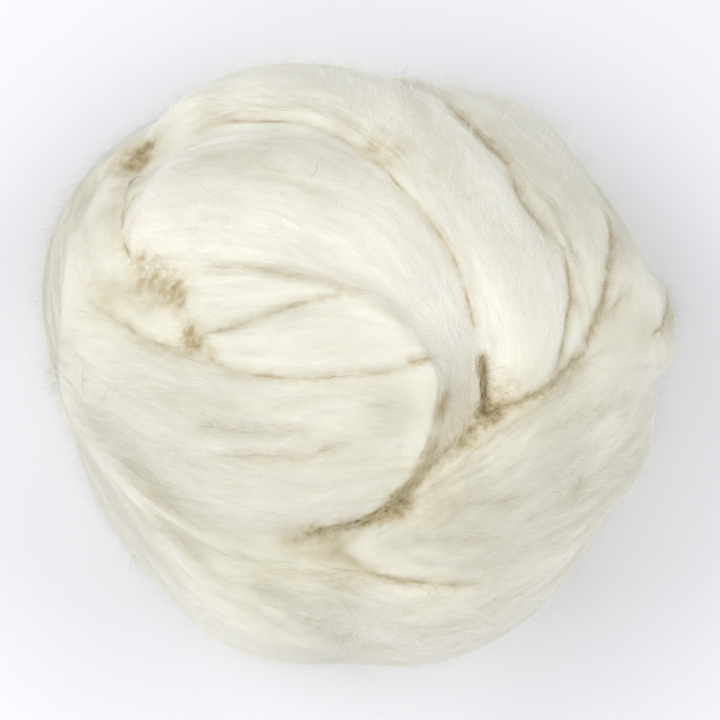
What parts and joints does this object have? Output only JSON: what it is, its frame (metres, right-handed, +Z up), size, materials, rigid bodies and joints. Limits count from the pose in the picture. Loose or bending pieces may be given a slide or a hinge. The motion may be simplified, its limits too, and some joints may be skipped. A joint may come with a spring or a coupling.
{
  "type": "wool roving",
  "caption": "Ball of undyed combed wool roving: one thick soft strand wound by hand over itself, with a small flat spot to rest on.",
  "frame": {"origin": "middle of the footprint, on the flat spot under the ball", "axes": "+Z up, +X along the longest width, +Y towards the side the arching passes lie on"},
  "size_m": [0.1792, 0.1668, 0.0995],
  "materials": {
    "undyed_wool": "soft matt fibre, warm off-white"
  },
  "bodies": {
    "root": {"roving_ball": "undyed_wool"}
  },
  "joints": []
}
